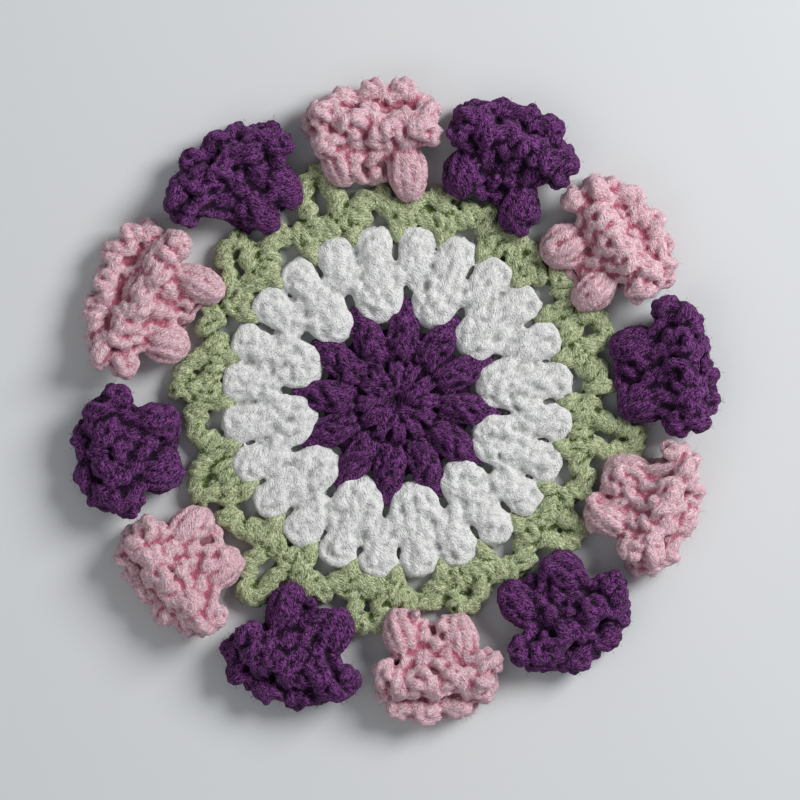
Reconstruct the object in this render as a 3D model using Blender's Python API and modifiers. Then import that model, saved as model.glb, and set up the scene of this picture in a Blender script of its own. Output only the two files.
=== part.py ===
"""A crochet coaster: a purple star, a white round, a ring of looped green leaves
and twelve carnation heads, pink and purple in turn, that lie on their side round the edge.

Metres, +Z up. The origin is the middle of the flat underside. Angles are in degrees,
anticlockwise from +X. Tables are in millimetres, and MM turns them into metres.
"""

import math
from collections import namedtuple

import bmesh
import bpy
from mathutils import Matrix, Vector

MM = 0.001

# The pattern: every round repeats twelve times, and each drifts a little further round.
REPEATS = 12
SECTOR = 360 / REPEATS
LOBE_PHASE = 9.5  # middle of a white inner lobe, which is a valley of the star
PUFF_PHASE = 8.0  # middle of every second white outer puff
LEAF_PHASE = 21.0  # middle of a leaf
FLOWER_PHASE = 6.0  # middle of a flower, and of the hole below it
OUTWARD_DRIFT = PUFF_PHASE - LOBE_PHASE  # turn of the white round from its inner to its outer edge
STATIONS = 8 * REPEATS  # points round each of the two flat rounds

SEAM_GAP = 0.45  # between the white and the green round, mm

# Purple star and white round, mm
STAR_VALLEY = 20.0
STAR_TIP = 27.5
STAR_CURVE = 1.8
LOBE_REACH_IN = 20.5
SLIT_END = 30.5
WHITE_RADIUS = 45.0
PUFF_NOTCH = 3.4
NOTCH_CURVE = 2.4
RIB_RELIEF = 0.55
LOBE_RELIEF = 0.6
PUFF_RELIEF = 0.5
SLIT_RELIEF = 1.5
SLIT_SHARE = 0.76  # where the slits lie across the white round
FIRST_ROUND_SHARE = 0.56  # of the star's reach

# Green round, mm
ARM_STRAND = 2.9  # radius of the cords that carry the flowers
LOOP_STRAND = 2.3  # radius of a leaf's looped cord
LEG_STRAND = 2.0
SUNK = 0.2  # how far a cord is flattened where it lies
CORD_MIDDLE = 2.3  # highest middle line of a cord
ARM_APEX = 53.4  # where two arms meet below a flower
EYE_FOOT = 50.5  # where the two sides of a leaf start to part
BASE_BAR = [(-7.4, 47.0), (-3.5, 47.6), (3.5, 47.6), (7.4, 47.0)]  # x, y from the leaf's middle
LEG = [(6.0, 41.0), (6.0, 44.0), (5.0, 47.5)]
ARM = [(6.2, 47.8), (9.9, 49.7)]
LEAF_VOXEL = 0.8
LEAF_KEEP = 0.036  # share of the faces that the Decimate keeps

# Flowers, mm
SEAT_RADIUS = 56.0  # inside this the flower hangs over the green arms
SEAT_HEIGHT = 5.5
LEFT_PUFF = (5.7, 6.4, 5.3)  # half sizes across, outwards and up
RIGHT_PUFF = (5.2, 6.6, 5.3)
STEM = (4.5, 4.8, 4.0)
HEART = (8.0, 5.5, 5.6)
UPPER_LOBE = (3.9, 4.2, 4.4)
LOWER_LOBE = (3.8, 3.9, 4.2)
PUFF_HEIGHT = 6.0  # heights of their middles
STEM_HEIGHT = 4.2
HEART_HEIGHT = 5.4
UPPER_HEIGHT = 9.8
LOWER_HEIGHT = 4.2
STEM_PLACE = 60.0  # from the mat's middle
HEART_PLACE = 65.5
THROAT_PLACE = 71.5
THROAT_DEPTH = 7.5
UPPER_BOW = 1.0  # how far the ends of a row of lobes fall back
LOWER_BOW = 4.5
LOBE_WAVE = 0.5  # every second lobe stands out by this, and the others draw in
FLOWER_VOXEL = 0.9
FLOWER_KEEP = 0.052

SectionRow = namedtuple("SectionRow", "share height relief")

# From the middle of the underside, out and up round the rim, and back in over the top.
STAR_SECTION = [
    SectionRow(0.00, 0.0, 0.0),
    SectionRow(0.96, 0.0, 0.0),
    SectionRow(1.00, 1.5, 0.0),
    SectionRow(0.97, 3.3, 0.2),
    SectionRow(0.84, 4.7, 1.0),
    SectionRow(0.68, 4.6, 1.0),
    SectionRow(0.56, 3.6, 0.3),
    SectionRow(0.44, 4.5, 1.0),
    SectionRow(0.24, 4.2, 1.0),
    SectionRow(0.09, 3.0, 0.2),
    SectionRow(0.00, 2.6, 0.0),
]

# A closed loop: share 0 is the inner edge and 1 the outer edge.
WHITE_SECTION = [
    SectionRow(0.04, 0.0, 0.0),
    SectionRow(0.96, 0.0, 0.0),
    SectionRow(1.00, 1.6, 0.0),
    SectionRow(0.99, 3.4, 0.1),
    SectionRow(0.91, 4.9, 0.8),
    SectionRow(0.78, 5.4, 1.0),
    SectionRow(0.63, 5.0, 0.8),
    SectionRow(0.48, 4.9, 0.5),
    SectionRow(0.33, 5.3, 1.0),
    SectionRow(0.16, 5.3, 1.0),
    SectionRow(0.04, 4.2, 0.4),
    SectionRow(0.00, 2.0, 0.0),
]

LeafRow = namedtuple("LeafRow", "lean reach spread")

# Clockwise from the leaf at 21 + 60 degrees. lean: how far the tip leans clockwise.
LEAVES = [
    LeafRow(3.0, 56.2, 3.3),
    LeafRow(0.0, 54.5, 3.8),
    LeafRow(0.5, 59.0, 3.6),
    LeafRow(0.5, 64.5, 3.1),
    LeafRow(-2.5, 60.0, 3.2),
    LeafRow(1.5, 58.0, 3.1),
    LeafRow(-2.0, 60.5, 3.2),
    LeafRow(-1.0, 64.5, 3.2),
    LeafRow(-3.5, 58.5, 3.3),
    LeafRow(-4.5, 58.5, 3.4),
    LeafRow(4.2, 61.5, 3.4),
    LeafRow(0.5, 64.5, 3.4),
]

FlowerRow = namedtuple(
    "FlowerRow",
    "colour left_x left_y right_x right_y upper_from upper_to upper_y lower_from lower_to lower_y",
)

# Clockwise from the flower at the top. x runs clockwise and y outwards. left and right
# are the base puffs, upper and lower the two rows of frill lobes.
FLOWERS = [
    FlowerRow("pink", -6.6, 62.3, 9.0, 57.3, -11.0, 14.8, 69.0, -13.5, 15.0, 78.0),
    FlowerRow("purple", -7.5, 60.0, 8.5, 57.7, -12.8, 13.8, 71.0, -12.8, 13.8, 79.0),
    FlowerRow("pink", -7.5, 58.0, 6.4, 57.7, -14.6, 13.2, 68.5, -14.0, 13.5, 78.5),
    FlowerRow("purple", -7.5, 61.3, 6.0, 61.7, -16.0, 12.5, 72.0, -12.5, 11.0, 78.0),
    FlowerRow("pink", -6.0, 61.0, 5.2, 60.8, -16.8, 9.5, 71.5, -12.5, 12.5, 78.5),
    FlowerRow("purple", -8.0, 60.2, 5.0, 59.2, -16.8, 11.5, 71.0, -15.5, 9.5, 79.5),
    FlowerRow("pink", -8.0, 61.5, 4.5, 58.5, -16.0, 9.8, 70.0, -14.5, 9.0, 78.5),
    FlowerRow("purple", -8.5, 60.0, 4.5, 58.7, -16.8, 10.0, 71.0, -13.0, 12.0, 79.5),
    FlowerRow("pink", -6.6, 61.6, 4.4, 61.2, -16.5, 10.8, 71.5, -15.5, 11.5, 79.5),
    FlowerRow("purple", -11.0, 61.8, 1.5, 61.2, -18.5, 8.5, 72.0, -17.0, 5.5, 80.0),
    FlowerRow("pink", -9.8, 59.8, 7.0, 58.2, -19.5, 13.5, 69.0, -16.5, 14.0, 80.5),
    FlowerRow("purple", 0.6, 61.0, 8.0, 62.8, -15.2, 14.2, 72.0, -14.0, 13.5, 79.5),
]

UPPER_LOBES = 5
LOWER_LOBES = 5

COLOURS = {
    "purple": (0.095, 0.018, 0.155, 1.0),
    "pink": (0.70, 0.39, 0.45, 1.0),
    "green": (0.38, 0.47, 0.20, 1.0),
    "white": (0.70, 0.70, 0.68, 1.0),
}


def clear_scene():
    for found in list(bpy.data.objects):
        bpy.data.objects.remove(found, do_unlink=True)


def new_collection(name, hidden=False):
    collection = bpy.data.collections.new(name)
    collection.hide_render = hidden
    bpy.context.scene.collection.children.link(collection)
    return collection


def yarn_material(name):
    """Matt cotton yarn of one colour."""
    material = bpy.data.materials.new(name + "_yarn")
    material.use_nodes = True
    shader = material.node_tree.nodes["Principled BSDF"]
    shader.inputs["Base Color"].default_value = COLOURS[name]
    shader.inputs["Roughness"].default_value = 0.9
    shader.inputs["Metallic"].default_value = 0.0
    material.diffuse_color = COLOURS[name]
    return material


def object_from_bmesh(name, shape, collection, material=None):
    mesh = bpy.data.meshes.new(name)
    shape.to_mesh(mesh)
    shape.free()
    made = bpy.data.objects.new(name, mesh)
    collection.objects.link(made)
    if material:
        mesh.materials.append(material)
        mesh.shade_smooth()
    return made


def off_middle(angle, phase, pitch):
    """How far an angle lies from the middle of its repeat: 0 there, 1 at the repeat's edge."""
    turned = (angle - phase + pitch / 2) % pitch
    return abs(turned / pitch * 2 - 1)


def star_outline(angle):
    edge = off_middle(angle, LOBE_PHASE, SECTOR)
    return STAR_VALLEY + (STAR_TIP - STAR_VALLEY) * edge**STAR_CURVE


def white_inner(angle):
    edge = off_middle(angle, LOBE_PHASE, SECTOR)
    return LOBE_REACH_IN + (SLIT_END - LOBE_REACH_IN) * edge**STAR_CURVE


def white_outer(angle):
    edge = off_middle(angle, PUFF_PHASE, SECTOR / 2)
    return WHITE_RADIUS - PUFF_NOTCH * edge**NOTCH_CURVE


def spun_section(rows, closed):
    """The section turned once round Z, with share 0 at 1 mm and share 1 at 2 mm from the axis."""
    shape = bmesh.new()
    start = Matrix.Rotation(math.radians(LOBE_PHASE), 3, "Z")
    inset = 1.0 if closed else 0.0
    points = [
        shape.verts.new(start @ Vector(((inset + row.share) * MM, 0.0, index * MM)))
        for index, row in enumerate(rows)
    ]
    edges = [shape.edges.new(pair) for pair in zip(points, points[1:])]
    if closed:
        edges.append(shape.edges.new((points[-1], points[0])))
    bmesh.ops.spin(
        shape,
        geom=points + edges,
        axis=(0.0, 0.0, 1.0),
        cent=(0.0, 0.0, 0.0),
        angle=math.tau,
        steps=STATIONS,
        use_merge=True,
    )
    bmesh.ops.remove_doubles(shape, verts=shape.verts, dist=MM * 1e-4)
    bmesh.ops.recalc_face_normals(shape, faces=shape.faces)
    return shape


def star_relief(radius, angle):
    """Twelve ribs of stitches in the first round and twenty-four in the second."""
    ribs = REPEATS if radius < FIRST_ROUND_SHARE * STAR_TIP else 2 * REPEATS
    return RIB_RELIEF * math.cos(math.radians(ribs * (angle - LOBE_PHASE - SECTOR / 2)))


def white_relief(share, angle):
    """Broad domes on the inner lobes, narrow ones on the outer puffs, and slits between them."""
    inner_share = max(0.0, 1 - share / 0.5)
    outer_share = min(1.0, max(0.0, (share - 0.4) / 0.2))
    lobe = math.cos(math.pi * off_middle(angle, LOBE_PHASE, SECTOR))
    edge = off_middle(angle, PUFF_PHASE, SECTOR / 2)
    slit = SLIT_RELIEF * edge**4 * math.exp(-(((share - SLIT_SHARE) / 0.1) ** 2))
    puff = PUFF_RELIEF * math.cos(math.pi * edge) - slit
    return LOBE_RELIEF * lobe * inner_share + puff * outer_share


def shape_star(collection, material):
    shape = spun_section(STAR_SECTION, closed=False)
    for vertex in shape.verts:
        row = STAR_SECTION[round(vertex.co.z / MM)]
        angle = math.degrees(math.atan2(vertex.co.y, vertex.co.x))
        rim_share = row.share**2
        radius = row.share * (STAR_VALLEY + (star_outline(angle) - STAR_VALLEY) * rim_share)
        height = row.height + row.relief * star_relief(radius, angle)
        turned = math.radians(angle)
        vertex.co = Vector((radius * math.cos(turned), radius * math.sin(turned), height)) * MM
    return object_from_bmesh("centre", shape, collection, material)


def shape_white_ring(collection, material):
    shape = spun_section(WHITE_SECTION, closed=True)
    for vertex in shape.verts:
        row = WHITE_SECTION[round(vertex.co.z / MM)]
        station = math.degrees(math.atan2(vertex.co.y, vertex.co.x))
        inner = white_inner(station)
        outer = white_outer(station + OUTWARD_DRIFT)
        radius = inner + (outer - inner) * row.share
        relief_angle = station + OUTWARD_DRIFT * (row.share > 0.5)
        height = row.height + row.relief * white_relief(row.share, relief_angle)
        turned = math.radians(station + OUTWARD_DRIFT * row.share)
        vertex.co = Vector((radius * math.cos(turned), radius * math.sin(turned), height)) * MM
    return object_from_bmesh("white_ring", shape, collection, material)


def white_round_cutter(collection):
    """The white round's outline grown by the seam gap, as a plug through the green round."""
    shape = bmesh.new()
    bmesh.ops.create_cone(
        shape,
        cap_ends=True,
        segments=STATIONS,
        radius1=MM,
        radius2=MM,
        depth=30 * MM,
        matrix=Matrix.Rotation(math.radians(PUFF_PHASE), 4, "Z"),
    )
    for vertex in shape.verts:
        angle = math.degrees(math.atan2(vertex.co.y, vertex.co.x))
        vertex.co.xy *= white_outer(angle) + SEAM_GAP
    return hidden_cutter("white_round_cutter", shape, collection)


def hidden_cutter(name, shape, collection):
    bmesh.ops.recalc_face_normals(shape, faces=shape.faces)
    cutter = object_from_bmesh(name, shape, collection)
    cutter.hide_render = True
    cutter.display_type = "WIRE"
    return cutter


def floor_cutter(collection):
    """Everything below the flat underside."""
    shape = bmesh.new()
    below = Matrix.Translation((0.0, 0.0, -10 * MM)) @ Matrix.Diagonal((220 * MM, 220 * MM, 20 * MM, 1.0))
    bmesh.ops.create_cube(shape, size=1.0, matrix=below)
    return hidden_cutter("floor_cutter", shape, collection)


def seat_cutter(collection):
    """The room that the green arms take under the flowers."""
    shape = bmesh.new()
    bottom = -5.0
    middle = Matrix.Translation((0.0, 0.0, (SEAT_HEIGHT + bottom) / 2 * MM))
    bmesh.ops.create_cone(
        shape,
        cap_ends=True,
        segments=STATIONS,
        radius1=SEAT_RADIUS * MM,
        radius2=SEAT_RADIUS * MM,
        depth=(SEAT_HEIGHT - bottom) * MM,
        matrix=middle,
    )
    return hidden_cutter("seat_cutter", shape, collection)


def cut(target, cutter):
    boolean = target.modifiers.new(cutter.name, "BOOLEAN")
    boolean.operation = "DIFFERENCE"
    boolean.object = cutter


def fuse(target, voxel, keep):
    """One skin round all that the object holds, then fewer faces."""
    remesh = target.modifiers.new("one_skin", "REMESH")
    remesh.mode = "VOXEL"
    remesh.voxel_size = voxel * MM
    decimate = target.modifiers.new("fewer_faces", "DECIMATE")
    decimate.ratio = keep


def leaf_strands(leaf):
    """The cords of one leaf as (radius, points), x clockwise and y outwards from the middle."""
    tip = leaf.reach - LOOP_STRAND
    middle = (EYE_FOOT + tip) / 2
    half_lean = leaf.lean / 2
    loop = [
        (-3.6, 48.0),
        (-leaf.spread, EYE_FOOT),
        (half_lean - leaf.spread, middle),
        (leaf.lean - 1.6, tip - 1.2),
        (leaf.lean, tip),
        (leaf.lean + 1.6, tip - 1.2),
        (half_lean + leaf.spread, middle),
        (leaf.spread, EYE_FOOT),
        (3.6, 48.0),
    ]
    outer = math.radians(SECTOR / 2)
    apex = (ARM_APEX * math.sin(outer), ARM_APEX * math.cos(outer))
    strands = [(ARM_STRAND, BASE_BAR), (LOOP_STRAND, loop)]
    for side in (-1, 1):
        strands.append((LEG_STRAND, [(side * x, y) for x, y in LEG]))
        strands.append((ARM_STRAND, [(side * x, y) for x, y in [*ARM, apex]]))
    return [
        (radius, [(x, y, min(radius - SUNK, CORD_MIDDLE)) for x, y in points])
        for radius, points in strands
    ]


def leaf_angle(index):
    return math.radians(LEAF_PHASE + 2 * SECTOR - index * SECTOR - 90)


def shape_leaf_ring(collection, material, cutters):
    """Every green cord as a bevelled curve, fused into one ring and fitted round the white one."""
    curve = bpy.data.curves.new("leaf_cords", "CURVE")
    curve.dimensions = "3D"
    curve.bevel_depth = MM
    curve.bevel_resolution = 2
    curve.resolution_u = 4
    curve.use_fill_caps = True
    for index, leaf in enumerate(LEAVES):
        turn = Matrix.Rotation(leaf_angle(index), 3, "Z")
        for radius, points in leaf_strands(leaf):
            spline = curve.splines.new("BEZIER")
            spline.bezier_points.add(len(points) - 1)
            for target, point in zip(spline.bezier_points, points):
                target.co = turn @ Vector(point) * MM
                target.handle_left_type = "AUTO"
                target.handle_right_type = "AUTO"
                target.radius = radius
    cords = bpy.data.objects.new("leaf_cords", curve)
    collection.objects.link(cords)
    bpy.context.view_layer.update()
    evaluated = cords.evaluated_get(bpy.context.evaluated_depsgraph_get())
    mesh = bpy.data.meshes.new_from_object(evaluated)
    bpy.data.objects.remove(cords, do_unlink=True)
    mesh.name = "leaf_ring"
    mesh.materials.clear()
    mesh.materials.append(material)
    mesh.shade_smooth()
    ring = bpy.data.objects.new("leaf_ring", mesh)
    collection.objects.link(ring)
    fuse(ring, LEAF_VOXEL, LEAF_KEEP)
    for cutter in cutters:
        cut(ring, cutter)
    return ring


def row_of_lobes(start, end, count, crest, drop, height, size):
    """Lobes side by side on a shallow arc that is highest outwards at its middle."""
    lumps = []
    for index in range(count):
        along = index / (count - 1)
        bow = (2 * along - 1) ** 2
        wave = LOBE_WAVE if index % 2 else -LOBE_WAVE
        place = (start + (end - start) * along, crest + wave - drop * bow, height)
        lumps.append((place, size))
    return lumps


def flower_lumps(row):
    """Every lump of a flower as (place, half sizes): puffs, heart, and the two frills."""
    middle = (row.upper_from + row.upper_to) / 2
    half_width = (row.upper_to - row.upper_from) / 2
    lumps = [
        ((row.left_x, row.left_y, PUFF_HEIGHT), LEFT_PUFF),
        ((row.right_x, row.right_y, PUFF_HEIGHT), RIGHT_PUFF),
        ((0.0, STEM_PLACE, STEM_HEIGHT), STEM),
        ((middle, HEART_PLACE, HEART_HEIGHT), HEART),
        ((middle, THROAT_PLACE, LOWER_HEIGHT), (half_width, THROAT_DEPTH, 5.0)),
    ]
    upper = (row.upper_from, row.upper_to, UPPER_LOBES, row.upper_y, UPPER_BOW)
    lower = (row.lower_from, row.lower_to, LOWER_LOBES, row.lower_y, LOWER_BOW)
    lumps += row_of_lobes(*upper, UPPER_HEIGHT, UPPER_LOBE)
    lumps += row_of_lobes(*lower, LOWER_HEIGHT, LOWER_LOBE)
    return lumps


def shape_flower(index, row, collection, material, cutters):
    shape = bmesh.new()
    for place, sizes in flower_lumps(row):
        matrix = Matrix.Translation(Vector(place) * MM) @ Matrix.Diagonal((*(Vector(sizes) * MM), 1.0))
        bmesh.ops.create_icosphere(shape, subdivisions=3, radius=1.0, matrix=matrix)
    name = f"flower_{index + 1:02d}_{row.colour}"
    flower = object_from_bmesh(name, shape, collection, material)
    angle = FLOWER_PHASE + 3 * SECTOR - index * SECTOR
    flower.rotation_euler = (0.0, 0.0, math.radians(angle - 90))
    fuse(flower, FLOWER_VOXEL, FLOWER_KEEP)
    for cutter in cutters:
        cut(flower, cutter)
    return flower


def main():
    clear_scene()
    coaster = new_collection("crochet_coaster")
    cutters = new_collection("cutters", hidden=True)
    yarn = {name: yarn_material(name) for name in COLOURS}

    floor = floor_cutter(cutters)
    white_plug = white_round_cutter(cutters)
    seat = seat_cutter(cutters)

    shape_star(coaster, yarn["purple"])
    shape_white_ring(coaster, yarn["white"])
    shape_leaf_ring(coaster, yarn["green"], [floor, white_plug])
    for index, row in enumerate(FLOWERS):
        shape_flower(index, row, coaster, yarn[row.colour], [floor, seat])


main()
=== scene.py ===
# %% [markdown]
# # A crochet coaster, strand by strand
# The coaster is worked in the round from four yarns: a purple star, a white round, a green
# round of looped leaves, and twelve carnation heads that lie on their side at the edge. The
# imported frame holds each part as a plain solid. Here every part is dressed in strands of
# yarn, because in crochet the strand is what the eye sees.

# %% Open the frame
import math
import random
from collections import namedtuple
from itertools import product

import bmesh
import bpy
import numpy as np
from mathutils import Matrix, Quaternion, Vector, noise
from mathutils.bvhtree import BVHTree
from mathutils.kdtree import KDTree


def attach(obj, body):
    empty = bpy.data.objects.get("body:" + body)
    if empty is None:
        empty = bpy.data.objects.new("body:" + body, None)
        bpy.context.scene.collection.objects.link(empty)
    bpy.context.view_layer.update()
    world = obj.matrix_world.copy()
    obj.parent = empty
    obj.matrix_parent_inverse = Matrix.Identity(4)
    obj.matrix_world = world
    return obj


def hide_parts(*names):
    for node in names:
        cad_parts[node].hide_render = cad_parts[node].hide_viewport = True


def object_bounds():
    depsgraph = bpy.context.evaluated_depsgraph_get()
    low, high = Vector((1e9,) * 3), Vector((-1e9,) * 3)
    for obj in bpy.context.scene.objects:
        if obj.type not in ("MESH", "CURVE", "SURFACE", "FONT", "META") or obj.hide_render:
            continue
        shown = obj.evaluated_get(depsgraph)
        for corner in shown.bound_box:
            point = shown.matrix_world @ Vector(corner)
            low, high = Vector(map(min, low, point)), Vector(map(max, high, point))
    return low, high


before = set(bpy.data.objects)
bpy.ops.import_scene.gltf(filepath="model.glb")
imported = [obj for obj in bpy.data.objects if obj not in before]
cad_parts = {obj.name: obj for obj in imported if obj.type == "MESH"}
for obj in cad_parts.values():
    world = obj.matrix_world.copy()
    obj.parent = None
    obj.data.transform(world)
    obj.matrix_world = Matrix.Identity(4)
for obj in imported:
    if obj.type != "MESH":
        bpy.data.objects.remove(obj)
cad_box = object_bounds()

MM = 0.001
REPEATS = 12
SECTOR = 360 / REPEATS
chance = random.Random(12)
cad_size = [round((high - low) / MM, 1) for low, high in zip(*cad_box)]
print("solids:", len(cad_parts), "box in mm:", cad_size)

# %% [markdown]
# ## What yarn looks like
# Cotton yarn is made of a few plies laid round each other, and each ply is made of fibres.
# The plies give fine slanting lines, the fibres give a soft, matt, slightly hairy face. Both
# follow the strand, so the pattern is read from the strand's own map: one way runs along it,
# in metres, and the other runs once round it. One node group works out the pattern, and each
# colour of yarn uses it with its own values.

# %% The ply twist, as one node group

ACROSS_FIBRES = 3.4  # how fast the fibres change round a strand
ALONG_FIBRES = 1100.0  # and along it, for each metre


def add_node(tree, kind, inputs=None, **settings):
    """A new shader node. inputs gives its sockets a value each, or the output of another node."""
    node = tree.nodes.new(f"ShaderNode{kind}")
    for name, value in settings.items():
        setattr(node, name, value)
    for socket, value in (inputs or {}).items():
        if isinstance(value, bpy.types.NodeSocket):
            tree.links.new(value, node.inputs[socket])
        else:
            node.inputs[socket].default_value = value
    return node


def twist_group():
    """Turns a strand's own map into the grooves between its plies and the fibres on them."""
    group = bpy.data.node_groups.new("ply_twist", "ShaderNodeTree")
    face = group.interface
    for name, value in (("Plies", 4.0), ("Lay", 0.008), ("Fibres", 1.0), ("Ridge", 1.0)):
        face.new_socket(name, in_out="INPUT", socket_type="NodeSocketFloat").default_value = value
    for name in ("Groove", "Fibre", "Height"):
        face.new_socket(name, in_out="OUTPUT", socket_type="NodeSocketFloat")
    given, made = group.nodes.new("NodeGroupInput"), group.nodes.new("NodeGroupOutput")

    def sums(operation, *values):
        return add_node(group, "Math", dict(enumerate(values)), operation=operation).outputs[0]

    strand_map = add_node(group, "UVMap", uv_map="UVMap")
    split = add_node(group, "SeparateXYZ", {0: strand_map.outputs[0]})
    along, round_it = split.outputs[0], split.outputs[1]

    turn = sums("ADD", sums("DIVIDE", along, given.outputs["Lay"]), round_it)
    angle = sums("MULTIPLY", turn, 2 * math.pi)
    wave = sums("SINE", sums("MULTIPLY", sums("MULTIPLY", angle, given.outputs["Plies"]), 0.5))
    ridge = sums("POWER", sums("ABSOLUTE", wave), 0.6)

    x = sums("MULTIPLY", sums("COSINE", angle), ACROSS_FIBRES)
    y = sums("MULTIPLY", sums("SINE", angle), ACROSS_FIBRES)
    place = add_node(group, "CombineXYZ", {0: x, 1: y, 2: sums("MULTIPLY", along, ALONG_FIBRES)})
    grain = {"Vector": place.outputs[0], "Scale": 1.0, "Detail": 1.5, "Roughness": 0.6}
    fibre = add_node(group, "TexNoise", grain)
    contrast = {"Value": fibre.outputs[0], "From Min": 0.42, "From Max": 0.60}
    fleck = add_node(group, "MapRange", contrast)
    uneven = sums("MULTIPLY", sums("SUBTRACT", fibre.outputs[0], 0.5), given.outputs["Fibres"])
    height = sums("ADD", sums("MULTIPLY", ridge, given.outputs["Ridge"]), uneven)
    group.links.new(sums("SUBTRACT", 1.0, ridge), made.inputs["Groove"])
    group.links.new(fleck.outputs[0], made.inputs["Fibre"])
    group.links.new(height, made.inputs["Height"])
    return group


ply_twist = twist_group()
print("group sockets:", [s.name for s in ply_twist.interface.items_tree])

# %% [markdown]
# ## The colours of the four yarns
# A ball of yarn isn't one flat colour: its fibres are paler and deeper at random. Shade is
# painted into it as well: a little in the grooves where the plies part, and most in the creases
# between the stitches, where little light gets in. A very fine noise stands for the fuzz that
# covers it all: it changes the colour a little and gives the light something to catch on.

# %% The colours of yarn

# light and deep are each yarn's pale and deep tones; groove and crease say how far painted shade in
# the ply grooves and in the creases takes the colour towards the deep tone; fleck says how far the
# fibres vary it at random
YarnColour = namedtuple("YarnColour", "light deep groove fleck crease relief")
YARN_COLOURS = {  # then how much the grooves, fibres and creases darken, and the relief in mm
    "purple": YarnColour((0.235, 0.064, 0.262), (0.008, 0.001, 0.011), 0.10, 0.70, 0.92, 0.32),
    "pink": YarnColour((0.800, 0.590, 0.640), (0.410, 0.100, 0.160), 0.06, 0.36, 0.88, 0.26),
    "green": YarnColour((0.640, 0.700, 0.430), (0.045, 0.075, 0.010), 0.10, 0.44, 0.95, 0.30),
    "white": YarnColour((0.765, 0.765, 0.750), (0.300, 0.305, 0.295), 0.00, 0.15, 0.74, 0.16),
}
YARN_SHADER = {
    "Roughness": 0.9, "Specular IOR Level": 0.15, "Sheen Weight": 0.15, "Sheen Roughness": 0.5,
}
YARN_TWIST = {"Lay": 0.0085, "Plies": 8.0, "Fibres": 3.0, "Ridge": 0.25}
DYE_SCALE, FUZZ_SCALE = 900.0, 2400.0  # spots of noise in a metre
FUZZ_DEPTH = 0.45  # mm
# Painted crease shade starts at the first depth and is full at the second.
CREASE_START, CREASE_END = -0.05, 0.35  # how far a spot lies below its surroundings, mm


def new_finish(name, values):
    """A new material, its nodes, and its shader with these values on its sockets."""
    material = bpy.data.materials.new(name)
    material.use_nodes = True
    shader = material.node_tree.nodes["Principled BSDF"]
    for socket, value in values.items():
        shader.inputs[socket].default_value = value
    return material, material.node_tree, shader


def yarn_finish(name, colour):
    """Matt yarn: its fibres vary at random, shade is painted into its ply grooves and creases, and
    it is finely fuzzy.
    """
    sheen = (*[value**0.5 for value in colour.light], 1)
    values = {**YARN_SHADER, "Sheen Tint": sheen}
    material, tree, shader = new_finish(f"{name}_yarn_finish", values)

    def ranged(value, low, high, least, most):
        limits = {"From Min": low, "From Max": high, "To Min": least, "To Max": most}
        return add_node(tree, "MapRange", {"Value": value, **limits}).outputs[0]

    def maths(operation, first, second, clamp=False):
        values = {0: first, 1: second}
        return add_node(tree, "Math", values, operation=operation, use_clamp=clamp).outputs[0]

    twist = add_node(tree, "Group", YARN_TWIST, node_tree=ply_twist)
    places = add_node(tree, "TexCoord").outputs["Object"]
    dye = add_node(tree, "TexNoise", {"Vector": places, "Scale": DYE_SCALE, "Detail": 2.0})
    fuzz = add_node(tree, "TexNoise", {"Vector": places, "Scale": FUZZ_SCALE, "Detail": 1.0})
    crease = add_node(tree, "Attribute", attribute_name="crease")

    # Painted shade: the ply grooves and the creases darken the colour towards the deep tone. The
    # fibres, specks and mottle vary it at random.
    grooves = maths("MULTIPLY", twist.outputs["Groove"], colour.groove)
    flecks = ranged(twist.outputs["Fibre"], 0.0, 1.0, colour.fleck, 0.0)
    specks = ranged(fuzz.outputs[0], 0.38, 0.62, -0.25 * colour.fleck, 0.55 * colour.fleck)
    mottle = ranged(dye.outputs[0], 0.52, 0.68, 0.0, 0.5 * colour.fleck)
    painted_crease_shade = ranged(crease.outputs["Fac"], CREASE_START, CREASE_END, 0.0, colour.crease)
    tone_and_painted_shade = maths("ADD", maths("ADD", grooves, flecks), maths("ADD", specks, mottle))
    tone_and_painted_shade = maths("ADD", tone_and_painted_shade, painted_crease_shade, clamp=True)
    shades = {"A": (*colour.light, 1), "B": (*colour.deep, 1), "Factor": tone_and_painted_shade}
    tint = add_node(tree, "Mix", shades, data_type="RGBA")
    tree.links.new(tint.outputs["Result"], shader.inputs["Base Color"])

    fluff = {"Strength": 0.8, "Distance": FUZZ_DEPTH * MM, "Height": fuzz.outputs[0]}
    plies = {"Strength": 0.9, "Distance": colour.relief * MM, "Height": twist.outputs["Height"]}
    fluffed = add_node(tree, "Bump", fluff).outputs[0]
    bump = add_node(tree, "Bump", {**plies, "Normal": fluffed})
    tree.links.new(bump.outputs[0], shader.inputs["Normal"])
    return material


yarn = {name: yarn_finish(name, colour) for name, colour in YARN_COLOURS.items()}
print("yarn finishes:", sorted(yarn))

# %% [markdown]
# ## From a line to a strand
# A strand is a soft line through a few points, with a round section that closes to a rounded
# tip at each end. A bevelled curve does just that, and one curve holds every strand of a part.
# The curve is made a mesh at the end: its tips are merged, and its map is stretched so that
# it runs in metres along each strand. The ply lines then have one size on all of them.

# %% A soft line

STEP = 1.1  # between two rings of a strand, mm


def run_of(line):
    """How far each point of a line lies along it."""
    return np.concatenate([[0], np.cumsum(np.linalg.norm(np.diff(line, axis=0), axis=1))])


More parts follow.
